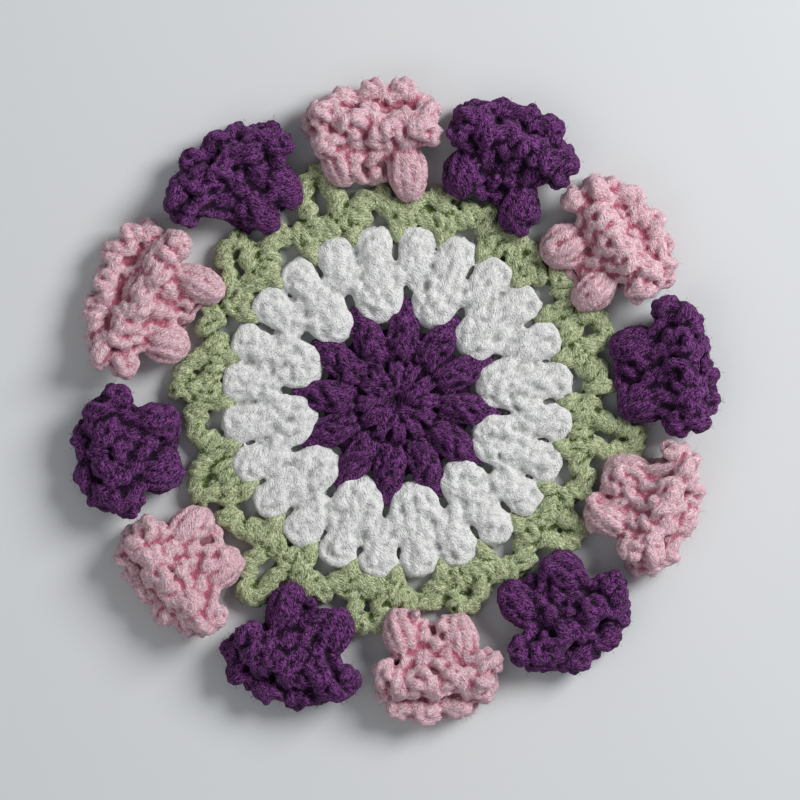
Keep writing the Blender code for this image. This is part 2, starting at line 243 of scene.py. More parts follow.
def soft_line(points, step=STEP):
    """A smooth line through a few points in millimetres, with points of its own evenly along it."""
    points = np.asarray(points, float)
    knots = np.concatenate([2 * points[:1] - points[1:2], points, 2 * points[-1:] - points[-2:-1]])
    share = np.linspace(0, 1, 8, endpoint=False)[:, None]
    pieces = [
        0.5 * (2 * b + (c - a) * share + (2 * a - 5 * b + 4 * c - d) * share**2
               + (3 * b - a - 3 * c + d) * share**3)
        for a, b, c, d in zip(knots, knots[1:], knots[2:], knots[3:])
    ]
    line = np.concatenate([*pieces, points[-1:]])
    run = run_of(line)
    places = np.linspace(0, run[-1], max(4, round(run[-1] / step) + 1))
    return np.stack([np.interp(places, run, line[:, axis]) for axis in range(3)], axis=1)


arc = soft_line([(0, 0, 0), (10, 5, 0), (20, 0, 0)])
print("a line through 3 points:", len(arc), "points and", round(run_of(arc)[-1], 1), "mm long")

# %% A strand on the line

TIP_REACH = (0.6, 0.92, 1.0)  # three rings close a tip, in radii past the line's end
TIP_WIDTHS = np.array([0.8, 0.4, 0.0])
Strand = namedtuple("Strand", "line widths")


def strand(line, radius, wobble=0.14):
    """Yarn of that radius on a line. It never dips below the table, and its tips are round."""
    line = np.array(line, float)
    steps = np.arange(len(line))[:, None]
    phase = np.array([chance.uniform(0, 2 * math.pi) for _ in range(3)])
    line = line + wobble * np.sin(steps * chance.uniform(0.7, 1.3) + phase)
    line[:, 2] = np.maximum(line[:, 2], radius)
    ends = []
    for end, inner in ((line[0], line[1]), (line[-1], line[-2])):
        out = (end - inner) / max(np.linalg.norm(end - inner), 1e-9)
        ends.append([end + out * radius * reach for reach in TIP_REACH])
    line = np.concatenate([ends[0][::-1], line, ends[1]])
    widths = np.full(len(line), radius)
    widths[:3] = radius * TIP_WIDTHS[::-1]
    widths[-3:] = radius * TIP_WIDTHS
    return Strand(line, widths)


print("widths of a tip, in radii:", TIP_WIDTHS)

# %% Many strands, made one mesh

SIDES = 8


def shown(name, data):
    """A new object in the scene, from a mesh or a curve."""
    piece = bpy.data.objects.new(name, data)
    bpy.context.scene.collection.objects.link(piece)
    return piece


def frozen(piece):
    """The mesh that a piece has with its modifiers done."""
    evaluated = piece.evaluated_get(bpy.context.evaluated_depsgraph_get())
    return bpy.data.meshes.new_from_object(evaluated)


def read(items, what, width=3, kind=float):
    """One value of every vertex, edge, face or corner of a mesh, as rows of an array."""
    values = np.zeros(len(items) * width, kind)
    items.foreach_get(what, values)
    return values.reshape(-1, width)


def opened(mesh, nearness=1e-6):
    """A mesh opened for editing, with the vertices that lie in one place made one."""
    shape = bmesh.new()
    shape.from_mesh(mesh)
    bmesh.ops.remove_doubles(shape, verts=shape.verts, dist=nearness)
    return shape


def strands_to_mesh(name, strands, sides=SIDES):
    """One bevelled curve for all the strands, made a closed mesh with its map in metres."""
    curve = bpy.data.curves.new(name, "CURVE")
    curve.dimensions = "3D"
    curve.bevel_depth = MM
    curve.bevel_resolution = sides // 2 - 2
    for one in strands:
        spline = curve.splines.new("POLY")
        spline.points.add(len(one.line) - 1)
        places = np.ones((len(one.line), 4))
        places[:, :3] = one.line * MM
        spline.points.foreach_set("co", places.ravel())
        spline.points.foreach_set("radius", one.widths)
    holder = shown(name, curve)
    mesh = frozen(holder)
    bpy.data.objects.remove(holder)
    stretch_map(mesh, strands, sides)
    shape = opened(mesh, 1e-7)
    shape.to_mesh(mesh)
    shape.free()
    mesh.shade_smooth()
    mesh.name = name
    return mesh


def stretch_map(mesh, strands, sides):
    """The curve's map runs from 0 to 1 along each strand: here it gets the strand's own length."""
    layer = mesh.uv_layers[0]
    layer.name = "UVMap"
    spots = read(layer.data, "uv", 2)
    start = 0
    for one in strands:
        end = start + (len(one.line) - 1) * sides * 4
        share = np.linspace(0, 1, len(one.line))
        along = np.interp(spots[start:end, 0], share, run_of(one.line) * MM)
        spots[start:end, 0] = along + chance.random()
        start = end
    layer.data.foreach_set("uv", spots.ravel())


print("triangles between two rings of a strand:", 2 * SIDES)

# %% [markdown]
# ## From loose strands to a worked piece
# Bare round strands look like a heap of cord. Real yarn is soft: where two strands touch, they
# flatten and their fibres mingle. So the strands are grown together with a fine voxel remesh
# and smoothed a little. The new skin has no map of its own, so each face takes the map of the
# strand face nearest to it, and the ply lines still follow the yarn.
#
# Two touches follow. Noise moves the skin in and out a little, as fluffed-up yarn is never
# quite even. And each vertex keeps how far it lies below its surroundings, so that the finish
# can paint shade into the creases without a baked picture.

# %% The map, the tufts and the creases

TUFT, CURL = 2.0, 0.95  # the size of the large and the small unevenness, mm


def mark_creases(mesh, rounds=10):
    """Keeps, for each vertex, how far in millimetres it lies below the ground around it, for the
    painted crease shade.
    """
    places = read(mesh.vertices, "co")
    normals = read(mesh.vertex_normals, "vector")
    one, other = read(mesh.edges, "vertices", 2, int).T
    count = np.bincount(np.concatenate([one, other]), minlength=len(places))
    smooth = places.copy()
    for _ in range(rounds):
        for axis in range(3):
            column = smooth[:, axis]
            total = np.bincount(one, column[other], len(places))
            total += np.bincount(other, column[one], len(places))
            smooth[:, axis] = total / np.maximum(count, 1)
    depth = ((smooth - places) * normals).sum(axis=1) / MM
    mesh.attributes.new("crease", "FLOAT", "POINT").data.foreach_set("value", depth)


def carry_map(skin, loose):
    """Gives each face of the skin the strand map of the loose strand face nearest to it."""
    loose_places, skin_places = read(loose.vertices, "co"), read(skin.vertices, "co")
    loose_corner = read(loose.loops, "vertex_index", 1, int)[:, 0]
    skin_corner = read(skin.loops, "vertex_index", 1, int)[:, 0]
    middles = read(skin.polygons, "center")
    tree = BVHTree.FromPolygons(loose_places.tolist(), [tuple(p.vertices) for p in loose.polygons])
    nearest = np.array([tree.find_nearest(middle)[2] for middle in middles.tolist()])
    spots = read(loose.uv_layers[0].data, "uv", 2)
    first = read(loose.polygons, "loop_start", 1, int)[nearest, 0]
    last = first + read(loose.polygons, "loop_total", 1, int)[nearest, 0] - 1
    three = (first, first + 1, last)
    origin, way_one, way_two = (loose_places[loose_corner[corner]] for corner in three)
    spot, spot_one, spot_two = (spots[corner] for corner in three)
    count = read(skin.polygons, "loop_total", 1, int)[:, 0]
    owner = np.repeat(np.arange(len(middles)), count)
    target = np.zeros((len(skin.loops), 2))
    reach = skin_places[skin_corner] - origin[owner]
    for way, there in ((way_one, spot_one), (way_two, spot_two)):
        edge = way - origin
        share = (reach * edge[owner]).sum(axis=1) / np.maximum((edge**2).sum(axis=1), 1e-12)[owner]
        target += np.clip(share, -1, 2)[:, None] * (there - spot)[owner]
    target += spot[owner]
    skin.uv_layers.new(name="UVMap").data.foreach_set("uv", target.ravel())


def ruffle(mesh, depth):
    """Moves the skin in and out by noise, so it has the small tufts of fluffed-up yarn."""
    places, outwards = read(mesh.vertices, "co") / MM, read(mesh.vertex_normals, "vector")
    lowest = places[:, 2].min()
    tufts = [
        noise.noise(tuft) + 0.6 * noise.noise(curl)
        for tuft, curl in zip((places / TUFT).tolist(), (places / CURL).tolist())
    ]
    places += outwards * np.array(tufts)[:, None] * depth
    places[:, 2] = np.maximum(places[:, 2], lowest)
    mesh.vertices.foreach_set("co", (places * MM).ravel())
    mesh.update()


print("tufts and curls in mm:", TUFT, CURL)

# %% Strands that grow together

VOXEL = 0.5  # mm, and finer where a part is small


def melt(name, strands, voxel, rounds, tufts):
    """Strands of fluffy yarn grow together into one soft skin with their creases and their map."""
    loose = shown(f"{name}_loose", strands_to_mesh(f"{name}_loose", strands))
    remesh = loose.modifiers.new("melt", "REMESH")
    remesh.mode = "VOXEL"
    remesh.voxel_size = voxel * MM
    soften = loose.modifiers.new("soften", "SMOOTH")
    soften.factor = 0.5
    soften.iterations = rounds
    skin = shown(name, frozen(loose))
    skin.data.name = name
    carry_map(skin.data, loose.data)
    bpy.data.objects.remove(loose)
    skin.data.shade_smooth()
    ruffle(skin.data, tufts)
    mark_creases(skin.data)
    return skin


print("grid in mm:", VOXEL)

# %% [markdown]
# ## Loose fibres
# A few fibres stand off any spun yarn. Each is a thin bent spike, closed at both ends and
# rooted in the skin. They are kept sparse: they cost triangles, and the eye needs only a few
# at the outline to read the yarn as soft.

# %% Fibres, and the dressed part

HAIR_RADIUS = 0.042
HAIR_SIDES = 4
HAIR_SPACING, HAIR_LENGTH = 2.35, 1.5  # mm
# Loose fibres get no painted crease shade.
HAIR_CREASE = -0.3  # a fibre stands clear of every crease


def add_hairs(skin):
    """Loose fibres that stand off the skin: thin spikes, closed at root and tip."""
    places, outwards = read(skin.data.vertices, "co") / MM, read(skin.data.vertex_normals, "vector")
    area = sum(read(skin.data.polygons, "area", 1)[:, 0]) / MM**2
    hairs = []
    for index in chance.choices(range(len(places)), k=int(area / HAIR_SPACING**2)):
        out = outwards[index]
        side = np.cross(out, [chance.gauss(0, 1) for _ in range(3)])
        way = out * chance.uniform(0.25, 0.9) + side * chance.uniform(0.2, 0.7)
        way *= HAIR_LENGTH * chance.uniform(0.5, 1.3) / np.linalg.norm(way)
        root = places[index] - out * 0.15
        line = np.array([root, root + way * 0.55, root + way + out * chance.uniform(-0.35, 0.15)])
        line[:, 2] = np.maximum(line[:, 2], 0.1)
        hairs.append(Strand(line, np.array([0.0, HAIR_RADIUS, 0.0])))
    mesh = strands_to_mesh(f"{skin.name}_hairs", hairs, HAIR_SIDES)
    depth = mesh.attributes.new("crease", "FLOAT", "POINT")
    depth.data.foreach_set("value", [HAIR_CREASE] * len(mesh.vertices))
    shape = bmesh.new()
    shape.from_mesh(skin.data)
    shape.from_mesh(mesh)
    shape.to_mesh(skin.data)
    shape.free()
    bpy.data.meshes.remove(mesh)
    skin.data.shade_smooth()
    print(f"{skin.name}: {len(hairs)} loose fibres")


def yarn_piece(name, strands, colour, node, rounds=1, tufts=0.22, voxel=VOXEL):
    """The dressed part: it hangs under the root body and takes the plain solid's place."""
    piece = melt(name, strands, voxel, rounds, tufts)
    add_hairs(piece)
    piece.data.materials.append(yarn[colour])
    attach(piece, "root")
    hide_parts(node)
    metres = sum(run_of(one.line)[-1] for one in strands) * MM
    triangles = sum(len(p.vertices) - 2 for p in piece.data.polygons)
    print(f"{name}: {len(strands)} strands, {metres:.2f} m of yarn, {triangles} triangles")
    return piece


print("a loose fibre on every", round(HAIR_SPACING**2, 1), "mm2 of skin")

# %% [markdown]
# ## How strands lie together
# Three ways of laying strands make nearly all of this work. A bundle bulges and is drawn
# together at both ends, as a bobble is. A knobbly cord has a pair of short strands arched over
# it for each stitch. And on broad parts, short V's of yarn are spread over the solid wherever
# nothing lies yet, because that is the face that a crochet stitch shows.

# %% Bundle and knobbly cord


def beside(line):
    """The directions across a line and out of its face, at each of its points."""
    along = np.gradient(line, axis=0)
    along /= np.maximum(np.linalg.norm(along, axis=1, keepdims=True), 1e-9)
    across = np.cross(along, (0.0, 0.0, 1.0))
    across /= np.maximum(np.linalg.norm(across, axis=1, keepdims=True), 1e-9)
    return across, np.cross(across, along)


def bundle(points, half_width, half_height, count, radius, start_angle=0.0, turn=0.0):
    """Strands all round a middle line that bulge between its two gathered ends."""
    line = soft_line(points)
    across, lift = beside(line)
    share = np.linspace(0, 1, len(line))[:, None]
    bulge = np.sin(np.pi * (0.06 + 0.88 * share)) ** 0.55
    found = []
    for index in range(count):
        place = (index + chance.uniform(-0.12, 0.12)) / count
        angle = 2 * np.pi * place + start_angle + turn * (share - 0.5)
        loose = chance.uniform(0.93, 1.05)
        offset = across * np.cos(angle) * half_width + lift * np.sin(angle) * half_height
        found.append(strand(line + offset * bulge * loose, radius * chance.uniform(0.93, 1.08)))
    return found


ARCH = ((-0.9, -1.0), (-1.15, 0.0), (-0.7, 0.9), (0.0, 1.25), (0.7, 0.9), (1.15, 0.0), (0.9, -1.0))


def knobs(points, half_width, half_height, radius, pitch):
    """A knobbly cord or edge: pairs of short strands arch over it, one pair after another."""
    line = soft_line(points, 0.6)
    across, lift = beside(line)
    run = run_of(line)
    count = max(1, round(run[-1] / pitch))
    found = [strand((line - lift * half_height * 0.5)[::2], half_width * 0.8, 0.1)]
    for index in range(count):
        middle = (index + 0.5 + chance.uniform(-0.12, 0.12)) * run[-1] / count
        size = chance.uniform(0.85, 1.15)
        slant = chance.uniform(0.0, 0.8)
        for side in (-1, 1):
            path = []
            for sideways, high in ARCH:
                apart = side * pitch * (0.12 + 0.14 * max(high, 0)) + slant * sideways * pitch / 2
                place = middle + apart
                parts = [np.interp(place, run, values) for values in (*line.T, *across.T, *lift.T)]
                spot, over, out = np.array(parts).reshape(3, 3)
                spot = spot + over * sideways * half_width * size
                path.append(spot + out * high * half_height * size)
            found.append(strand(soft_line(path), radius * chance.uniform(0.92, 1.08), 0.08))
    return found


print("each stitch of a cord has 2 strands over", len(ARCH), "points")

# %% Short V's over the bare places

V_LEAN = 0.42  # of each leg, in radians
V_ENDS = -2.2  # how deep the ends of a leg dip into the part, mm


def outside_of(node):
    """A solid's outside: a tree that finds the nearest spot, and all triangle sizes and corners."""
    shape = opened(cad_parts[node].data)
    bmesh.ops.triangulate(shape, faces=shape.faces)
    tree = BVHTree.FromBMesh(shape)
    sizes = [face.calc_area() for face in shape.faces]
    corners_of = [[corner.co.copy() for corner in face.verts] for face in shape.faces]
    shape.free()
    return tree, sizes, corners_of


def fill(node, spacing, near, radius, length, rise, along, taken=(), clear=0.0, free=None):
    """Short V's of yarn over a solid, away from the taken strands and from where free is true."""
    tree, sizes, corners_of = outside_of(node)
    spots = [spot * MM for one in taken for spot in one.line]
    crowd = KDTree(max(1, len(spots)))
    for number, spot in enumerate(spots):
        crowd.insert(spot, number)
    crowd.balance()
    cells, found = {}, []
    tries = int(sum(sizes) / MM**2 / spacing**2 * 6)
    for a, b, c in chance.choices(corners_of, sizes, k=tries):
        one, two = sorted((chance.random(), chance.random()))
        spot = a * one + b * (two - one) + c * (1 - two)
        if spots and crowd.find(spot)[2] < clear * MM:
            continue
        if free and free(*(spot / MM)):
            continue
        cell = tuple(int(value / (spacing * MM)) for value in spot)
        close = (
            other
            for step in product((-1, 0, 1), repeat=3)
            for other in cells.get(tuple(map(sum, zip(cell, step))), ())
        )
        if any((other - spot).length < spacing * MM for other in close):
            continue
        cells.setdefault(cell, []).append(spot)
        out = tree.find_nearest(spot)[1]
        way = Vector(along(spot / MM))
        way = way - out * way.dot(out)
        if way.length < 0.2:
            way = out.orthogonal()
        way = Quaternion(out, chance.uniform(-near, near)) @ way.normalized()
        size = length * chance.uniform(0.85, 1.15)
        for lean in (-V_LEAN, V_LEAN):
            leg = Quaternion(out, lean) @ way
            path = []
            hump = ((-0.3, 0.1), (0.0, rise), (0.3, 0.2 + rise / 2))
            for share, high in ((-0.5, V_ENDS), *hump, (0.55, V_ENDS)):
                there, there_out, _, _ = tree.find_nearest(spot + leg * (share * size * MM))
                path.append(np.array(there / MM + there_out * (high - radius)))
            found.append(strand(soft_line(path), radius * chance.uniform(0.92, 1.08), 0.06))
    return found


print("a V opens by", round(math.degrees(2 * V_LEAN)), "degrees")

# %% [markdown]
# ## The painted-shade ground under the strands
# Between real stitches the eye looks into shade, not through the piece. So each part has a
# ground below its strands that paints that shade: the frame's own solid, drawn in by about a
# strand's radius, in a dark tone of the yarn.

# %% The ground's finish, painted shade


def shade_ground_finish(name, colour):
    """Painted shade deep in the yarn: a dark, rough tone of its colour."""
    values = {"Roughness": 0.95, "Specular IOR Level": 0.1}
    material, tree, shader = new_finish(f"{name}_shade_ground_finish", values)
    places = add_node(tree, "TexCoord").outputs["Object"]
    fluff = add_node(tree, "TexNoise", {"Vector": places, "Scale": DYE_SCALE, "Detail": 3.0})
    # Painted shade: a dark mix of the yarn's tones, mottled by noise with a darker one.
    shade = [0.2 * light + 0.25 * deep for light, deep in zip(colour.light, colour.deep)]
    shades = {"A": (*shade, 1), "B": (*[0.4 * deep for deep in colour.deep], 1)}
    tint = add_node(tree, "Mix", {**shades, "Factor": fluff.outputs[0]}, data_type="RGBA")
    bump = add_node(tree, "Bump", {"Distance": 0.4 * MM, "Height": fluff.outputs[0]})
    tree.links.new(tint.outputs["Result"], shader.inputs["Base Color"])
    tree.links.new(bump.outputs[0], shader.inputs["Normal"])
    return material


shade_ground_yarn = {name: shade_ground_finish(name, colour) for name, colour in YARN_COLOURS.items()}
print("ground finishes:", sorted(shade_ground_yarn))

# %% The ground's shape


def shade_ground_piece(node, colour, draw_in):
    """The solid of one node, drawn in on all sides: a dark sheet of painted shade under the
    strands.
    """
    shape = opened(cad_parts[node].data)
    shape.normal_update()
    for vertex in shape.verts:
        vertex.co -= vertex.normal * draw_in * MM
    axes = {f"use_axis_{axis}": True for axis in "xyz"}
    bmesh.ops.smooth_vert(shape, verts=shape.verts, factor=0.3, **axes)
    mesh = bpy.data.meshes.new(f"{node}_ground")
    shape.to_mesh(mesh)
    shape.free()
    mesh.shade_smooth()
    mesh.materials.append(shade_ground_yarn[colour])
    piece = shown(f"{node}_ground", mesh)
    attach(piece, "root")
    print(f"{piece.name}: drawn in by {draw_in} mm, {len(mesh.polygons)} faces")
    return piece


# %% [markdown]
# ## The purple star
# It is worked from the middle out: a tight ring, a first round of twelve posts, and a second
# round of twenty-four that lean together two and two into the star's points. A fan of strands
# side by side makes the broad parts. Single strands laid over it show the way of the yarn.

# %% Places on the round, and fans of strands

CROWN = 0.6  # how far the outer strands of a fan lie below its middle, mm


def polar(radius, angle, across=0.0, height=0.0):
    """A point at a radius and an angle in degrees, then so far clockwise along the round."""
    angle = math.radians(angle) - across / radius
    return radius * math.cos(angle), radius * math.sin(angle), height


def cluster(rows, middle, over, under, radius, low, uneven):
    """Strands side by side over and under, at the width and height that each row gives."""
    found = []
    for shares, on_top in ((over, True), (under, False)):
        for share in shares:
            turn = middle + chance.uniform(-uneven, uneven)
            lift = chance.uniform(-0.15, 0.15)
            path = []
            for place, half_width, top in rows:
                height = top - CROWN * share**2 + lift if on_top else low
                path.append(polar(place, turn, share * half_width, height))
            found.append(strand(soft_line(path), radius * chance.uniform(0.94, 1.06)))
    return found


def laid(paths, middle, radius, uneven):
    """Strands drawn as points across, outwards and up from one angle of the round."""
    found = []
    turn = middle + chance.uniform(-uneven, uneven)
    for path in paths:
        lift = chance.uniform(-0.25, 0.25)
        points = [
            polar(place, turn, across + chance.uniform(-0.25, 0.25), top + lift)
            for across, place, top in path
        ]
        found.append(strand(soft_line(points), radius * chance.uniform(0.94, 1.08)))
    return found


print(REPEATS, "repeats of", SECTOR, "degrees")

# %% The star's two rounds

STAR_TIP_PHASE = 24.5  # degrees
FIRST_PHASE = 2.0
PURPLE_STRAND, POST_STRAND = 1.15, 1.0
STAR_UNDERSIDE = 1.3
# a fan's rows: out from the middle, half the width there, and the top
FIRST_UNDER = [(1.4, 0.1, 2.6), (4.0, 0.75, 3.5), (7.0, 1.15, 3.9), (9.8, 1.25, 3.4)]
TIP_UNDER = [
    (9.6, 0.8, 2.7), (12.5, 1.8, 3.6), (16.0, 2.6, 4.1),
    (19.5, 2.7, 4.1), (22.5, 1.6, 3.6), (25.6, 0.25, 2.7),
]
POST_PATHS = [  # clockwise of the middle, out from the star's middle, and up
    [(0.1, 1.2, 2.0), (0.3, 3.2, 3.9), (0.5, 6.0, 5.0), (0.8, 8.8, 4.6), (0.9, 10.4, 2.4)],
    [(-0.3, 4.2, 2.4), (-0.8, 6.4, 4.5), (-1.0, 8.6, 4.8), (-0.8, 10.4, 2.4)],
]
TIP_PATHS = [
    [(1.3, 10.8, 2.0), (2.0, 12.6, 3.7), (2.7, 15.5, 4.0), (3.0, 18.6, 4.0), (2.2, 21.8, 3.7),
     (0.7, 25.0, 2.7)],
    [(-1.3, 10.8, 2.0), (-2.0, 12.6, 3.7), (-2.7, 15.5, 4.0), (-3.0, 18.6, 4.0), (-2.2, 21.8, 3.7),
     (-0.7, 25.0, 2.7)],
    [(0.5, 11.3, 2.4), (0.7, 13.2, 5.0), (1.0, 16.5, 5.1), (1.2, 20.0, 4.7), (0.7, 23.0, 4.0),
     (0.1, 25.9, 2.7)],
    [(-0.7, 11.8, 2.6), (-1.1, 13.8, 5.0), (-1.1, 17.0, 5.2), (-1.0, 20.5, 4.7), (-0.4, 24.0, 3.6)],
    [(-2.9, 14.2, 3.0), (-1.4, 15.2, 5.6), (0.4, 16.8, 6.0), (2.0, 18.6, 5.2), (3.2, 20.2, 2.6)],
    [(-2.6, 18.4, 3.4), (-1.0, 19.6, 5.4), (0.6, 21.2, 5.0), (1.4, 22.6, 3.4)],
]

star = []
for index in range(REPEATS):
    first, tip = FIRST_PHASE + SECTOR * index, STAR_TIP_PHASE + SECTOR * index
    star += laid(POST_PATHS, first, POST_STRAND, 1.5)
    star += cluster(FIRST_UNDER, first, (), (-1, 1), PURPLE_STRAND, STAR_UNDERSIDE, 1.5)
    star += laid(TIP_PATHS, tip, PURPLE_STRAND, 0.7)
    star += cluster(TIP_UNDER, tip, (), (-1, 0, 1), PURPLE_STRAND, STAR_UNDERSIDE, 0.5)
centre = yarn_piece("centre_yarn", star, "purple", "centre", voxel=0.42)
centre_ground = shade_ground_piece("centre", "purple", 1.4)

# %% [markdown]
# ## The white round
# Twelve full clusters poke in between the star's points, and twenty-four smaller ones stand
# round the outside, every second one on a cluster. The yarn is fluffy, so its strands nearly
# melt together: they are a little thicker here and lie closer. Slits between the clusters
# stay free of the short V's, so the clusters keep apart.

# %% White clusters

LOBE_PHASE, PUFF_PHASE = 9.5, 8.0  # degrees
WHITE_STRAND, CAP_STRAND = 1.7, 1.3
WHITE_UNDERSIDE = 1.7
WHITE_VEES = {"spacing": 3.1, "near": 0.5, "radius": 1.3, "length": 4.8, "rise": 0.85}
INNER_CLUSTER = [
    (22.1, 2.2, 3.0), (23.8, 3.7, 3.9), (27.0, 4.5, 4.1), (31.0, 5.2, 3.9), (34.5, 4.8, 3.4),
]
OUTER_ROWS = [(33.8, 3.1, 4.2), (35.6, 2.5, 4.2), (38.0, 2.8, 4.3), (41.0, 3.2, 4.1)]
ON_LOBE = [(29.8, 0.9, 3.9), (32.0, 2.6, 4.3), *OUTER_ROWS, (43.4, 3.3, 3.2)]
BETWEEN_LOBES = [(31.6, 1.8, 3.4), (33.8, 3.1, 3.9), *OUTER_ROWS[1:], (42.9, 3.2, 3.2)]
CAP = [  # out from the middle, clockwise, and up
    (39.8, -3.3, 3.6), (41.6, -3.9, 3.8), (43.3, -2.6, 4.2), (43.8, 0.0, 4.4),
    (43.3, 2.6, 4.2), (41.6, 3.9, 3.8), (39.8, 3.3, 3.6),
]
SLIT_PHASE, SLIT_START, SLIT_CLEAR = 15.5, 35.0, 2.9
TIP_SLIT_START, TIP_SLIT_END = 25.0, 31.5


def in_a_slit(x, y, z):
    """True near a slit between two outer clusters, and near one over a tip of the star."""
    place, angle = math.hypot(x, y), math.degrees(math.atan2(y, x))
    outer = place > SLIT_START
    every, phase = (SECTOR / 2, SLIT_PHASE) if outer else (SECTOR, STAR_TIP_PHASE)
    off = math.radians(abs((angle - phase + every / 2) % every - every / 2))
    return (outer or TIP_SLIT_START < place < TIP_SLIT_END) and off * place < SLIT_CLEAR


def from_middle(spot):
    """The way outwards from the mat's middle."""
    return spot[0], spot[1], 0.0


def fluffy(rows, middle, over, under, uneven):
    """A cluster of white yarn."""
    return cluster(rows, middle, over, under, WHITE_STRAND, WHITE_UNDERSIDE, uneven)


white = []
for index in range(REPEATS):
    middle = LOBE_PHASE + SECTOR * index
    white += fluffy(INNER_CLUSTER, middle, (-1, -0.33, 0.33, 1), (-0.85, -0.3, 0.3, 0.85), 0.9)
    for phase, rows in ((0, ON_LOBE), (SECTOR / 2, BETWEEN_LOBES)):
        middle = PUFF_PHASE + phase + SECTOR * index + chance.uniform(-0.4, 0.4)
        white += fluffy(rows, middle, (-1, -0.35, 0.35, 1), (-0.9, 0, 0.9), 0.3)
        cap = [polar(place, middle, across, top) for place, across, top in CAP]
        white.append(strand(soft_line(cap), CAP_STRAND))
white += fill("white_ring", **WHITE_VEES, along=from_middle, free=in_a_slit)
white_round = yarn_piece("white_round_yarn", white, "white", "white_ring", rounds=2, tufts=0.34)
white_ground = shade_ground_piece("white_ring", "white", 1.2)

# %% [markdown]
# ## The green round
# Green cords run between the white clusters, join in a bar below each leaf, carry the flowers
# on two arms and rise into a looped leaf. Each cord is a row of stitches, so it is laid as a
# knobbly cord. Every leaf leans and reaches a little differently, as hand work does.

# %% The twelve leaves

LEAF_PHASE = 21.0  # degrees
LeafRow = namedtuple("LeafRow", "lean reach spread")
LEAF_NUMBERS = [
    (3.0, 56.2, 3.3), (0.0, 54.5, 3.8), (0.5, 59.0, 3.6), (0.5, 64.5, 3.1),
    (-2.5, 60.0, 3.2), (1.5, 58.0, 3.1), (-2.0, 60.5, 3.2), (-1.0, 64.5, 3.2),
    (-3.5, 58.5, 3.3), (-4.5, 58.5, 3.4), (4.2, 61.5, 3.4), (0.5, 64.5, 3.4),
]
LEAVES = [LeafRow(*numbers) for numbers in LEAF_NUMBERS]
print("leaves:", len(LEAVES))

# %% Loops, legs and arms

EYE_FOOT = 50.5
GREEN_STRAND, LEG_STRAND = 1.15, 1.15
CORD = {"half_width": 2.5, "half_height": 1.4, "radius": 1.2, "pitch": 4.2}
LOOP = {"half_width": 1.7, "half_height": 1.4, "radius": GREEN_STRAND, "pitch": 4.0}
LEG_CLOCKWISE, LEG_ANTICLOCKWISE = 6.3, -8.7  # degrees from the leaf's middle
BAR = [(-7.2, 46.8, 2.6), (-3.5, 47.4, 2.7), (3.5, 47.4, 2.7), (7.2, 46.8, 2.6)]
ARM_END = 53.4  # where the arms of two leaves meet, out from the mat's middle


def turned(points, degrees):
    """Points of a part, drawn with x clockwise and y outwards, turned to their place."""
    angle = math.radians(degrees - 90)
    x, y, z = np.asarray(points, float).T
    across = x * math.cos(angle) - y * math.sin(angle)
    outwards = x * math.sin(angle) + y * math.cos(angle)
    return np.stack([across, outwards, z], axis=1)


def leaf_loop(leaf):
    """The loop of one leaf, up one side, over the tip and down the other."""
    tip, spread = leaf.reach - 2.2, leaf.spread + 0.35
    middle, half_lean = (EYE_FOOT + tip) / 2, leaf.lean / 2
    return [
        (-3.6, 47.6, 2.6), (-spread, EYE_FOOT, 2.9), (half_lean - spread, middle, 2.7),
        (leaf.lean - 2.0, tip - 0.8, 2.5), (leaf.lean + 2.0, tip - 0.8, 2.5),
        (half_lean + spread, middle, 2.7), (spread, EYE_FOOT, 2.9), (3.6, 47.6, 2.6),
    ]


def leaf_strands(leaf, degrees):
    """One leaf's loop, the bar below it, and on each side a leg and an arm."""
    half = math.radians(SECTOR / 2)
    found = knobs(turned(leaf_loop(leaf), degrees), **LOOP)
    found += knobs(turned(BAR, degrees), **CORD)
    for side, leg_angle in ((-1, LEG_ANTICLOCKWISE), (1, LEG_CLOCKWISE)):
        slit = math.radians(leg_angle)
        for across in (-1.7, -0.6, 0.6, 1.7):
            dip = across**2 * 0.2
            leg = [
                (41.6 * math.sin(slit) + across * 0.15, 41.6 * math.cos(slit), 3.4),
                (43.6 * math.sin(slit) + across * 0.6, 43.6 * math.cos(slit), 4.8 - dip),
                (45.6 * math.sin(slit) + across, 45.8 * math.cos(slit), 4.2 - dip),
                (side * 5.0 + across * 1.2, 47.8, 3.0),
            ]
            found.append(strand(soft_line(turned(leg, degrees)), LEG_STRAND))
        end = (side * ARM_END * math.sin(half), ARM_END * math.cos(half), 2.5)
        arm = [(side * 5.6, 47.4, 2.6), (side * 9.9, 49.7, 2.6), end]
        found += knobs(turned(arm, degrees), **CORD)
    return found


green = []
for index, leaf in enumerate(LEAVES):
    green += leaf_strands(leaf, LEAF_PHASE + 2 * SECTOR - index * SECTOR)
leaf_round = yarn_piece("leaf_round_yarn", green, "green", "leaf_ring")
leaf_ground = shade_ground_piece("leaf_ring", "green", 0.9)

# %% [markdown]
# ## The carnation heads
# Each head lies on its side: two plump puffs hold its foot, posts fan out of them, and the
# frill folds back in two rows of lobes, one high and one low. The puffs are bundles, the posts
# are single strands from a foot to an edge, and each edge is a knobbly cord. No two heads are
# alike, so each has a row of its own: where its puffs lie, and where its lobes reach.

# %% The twelve heads

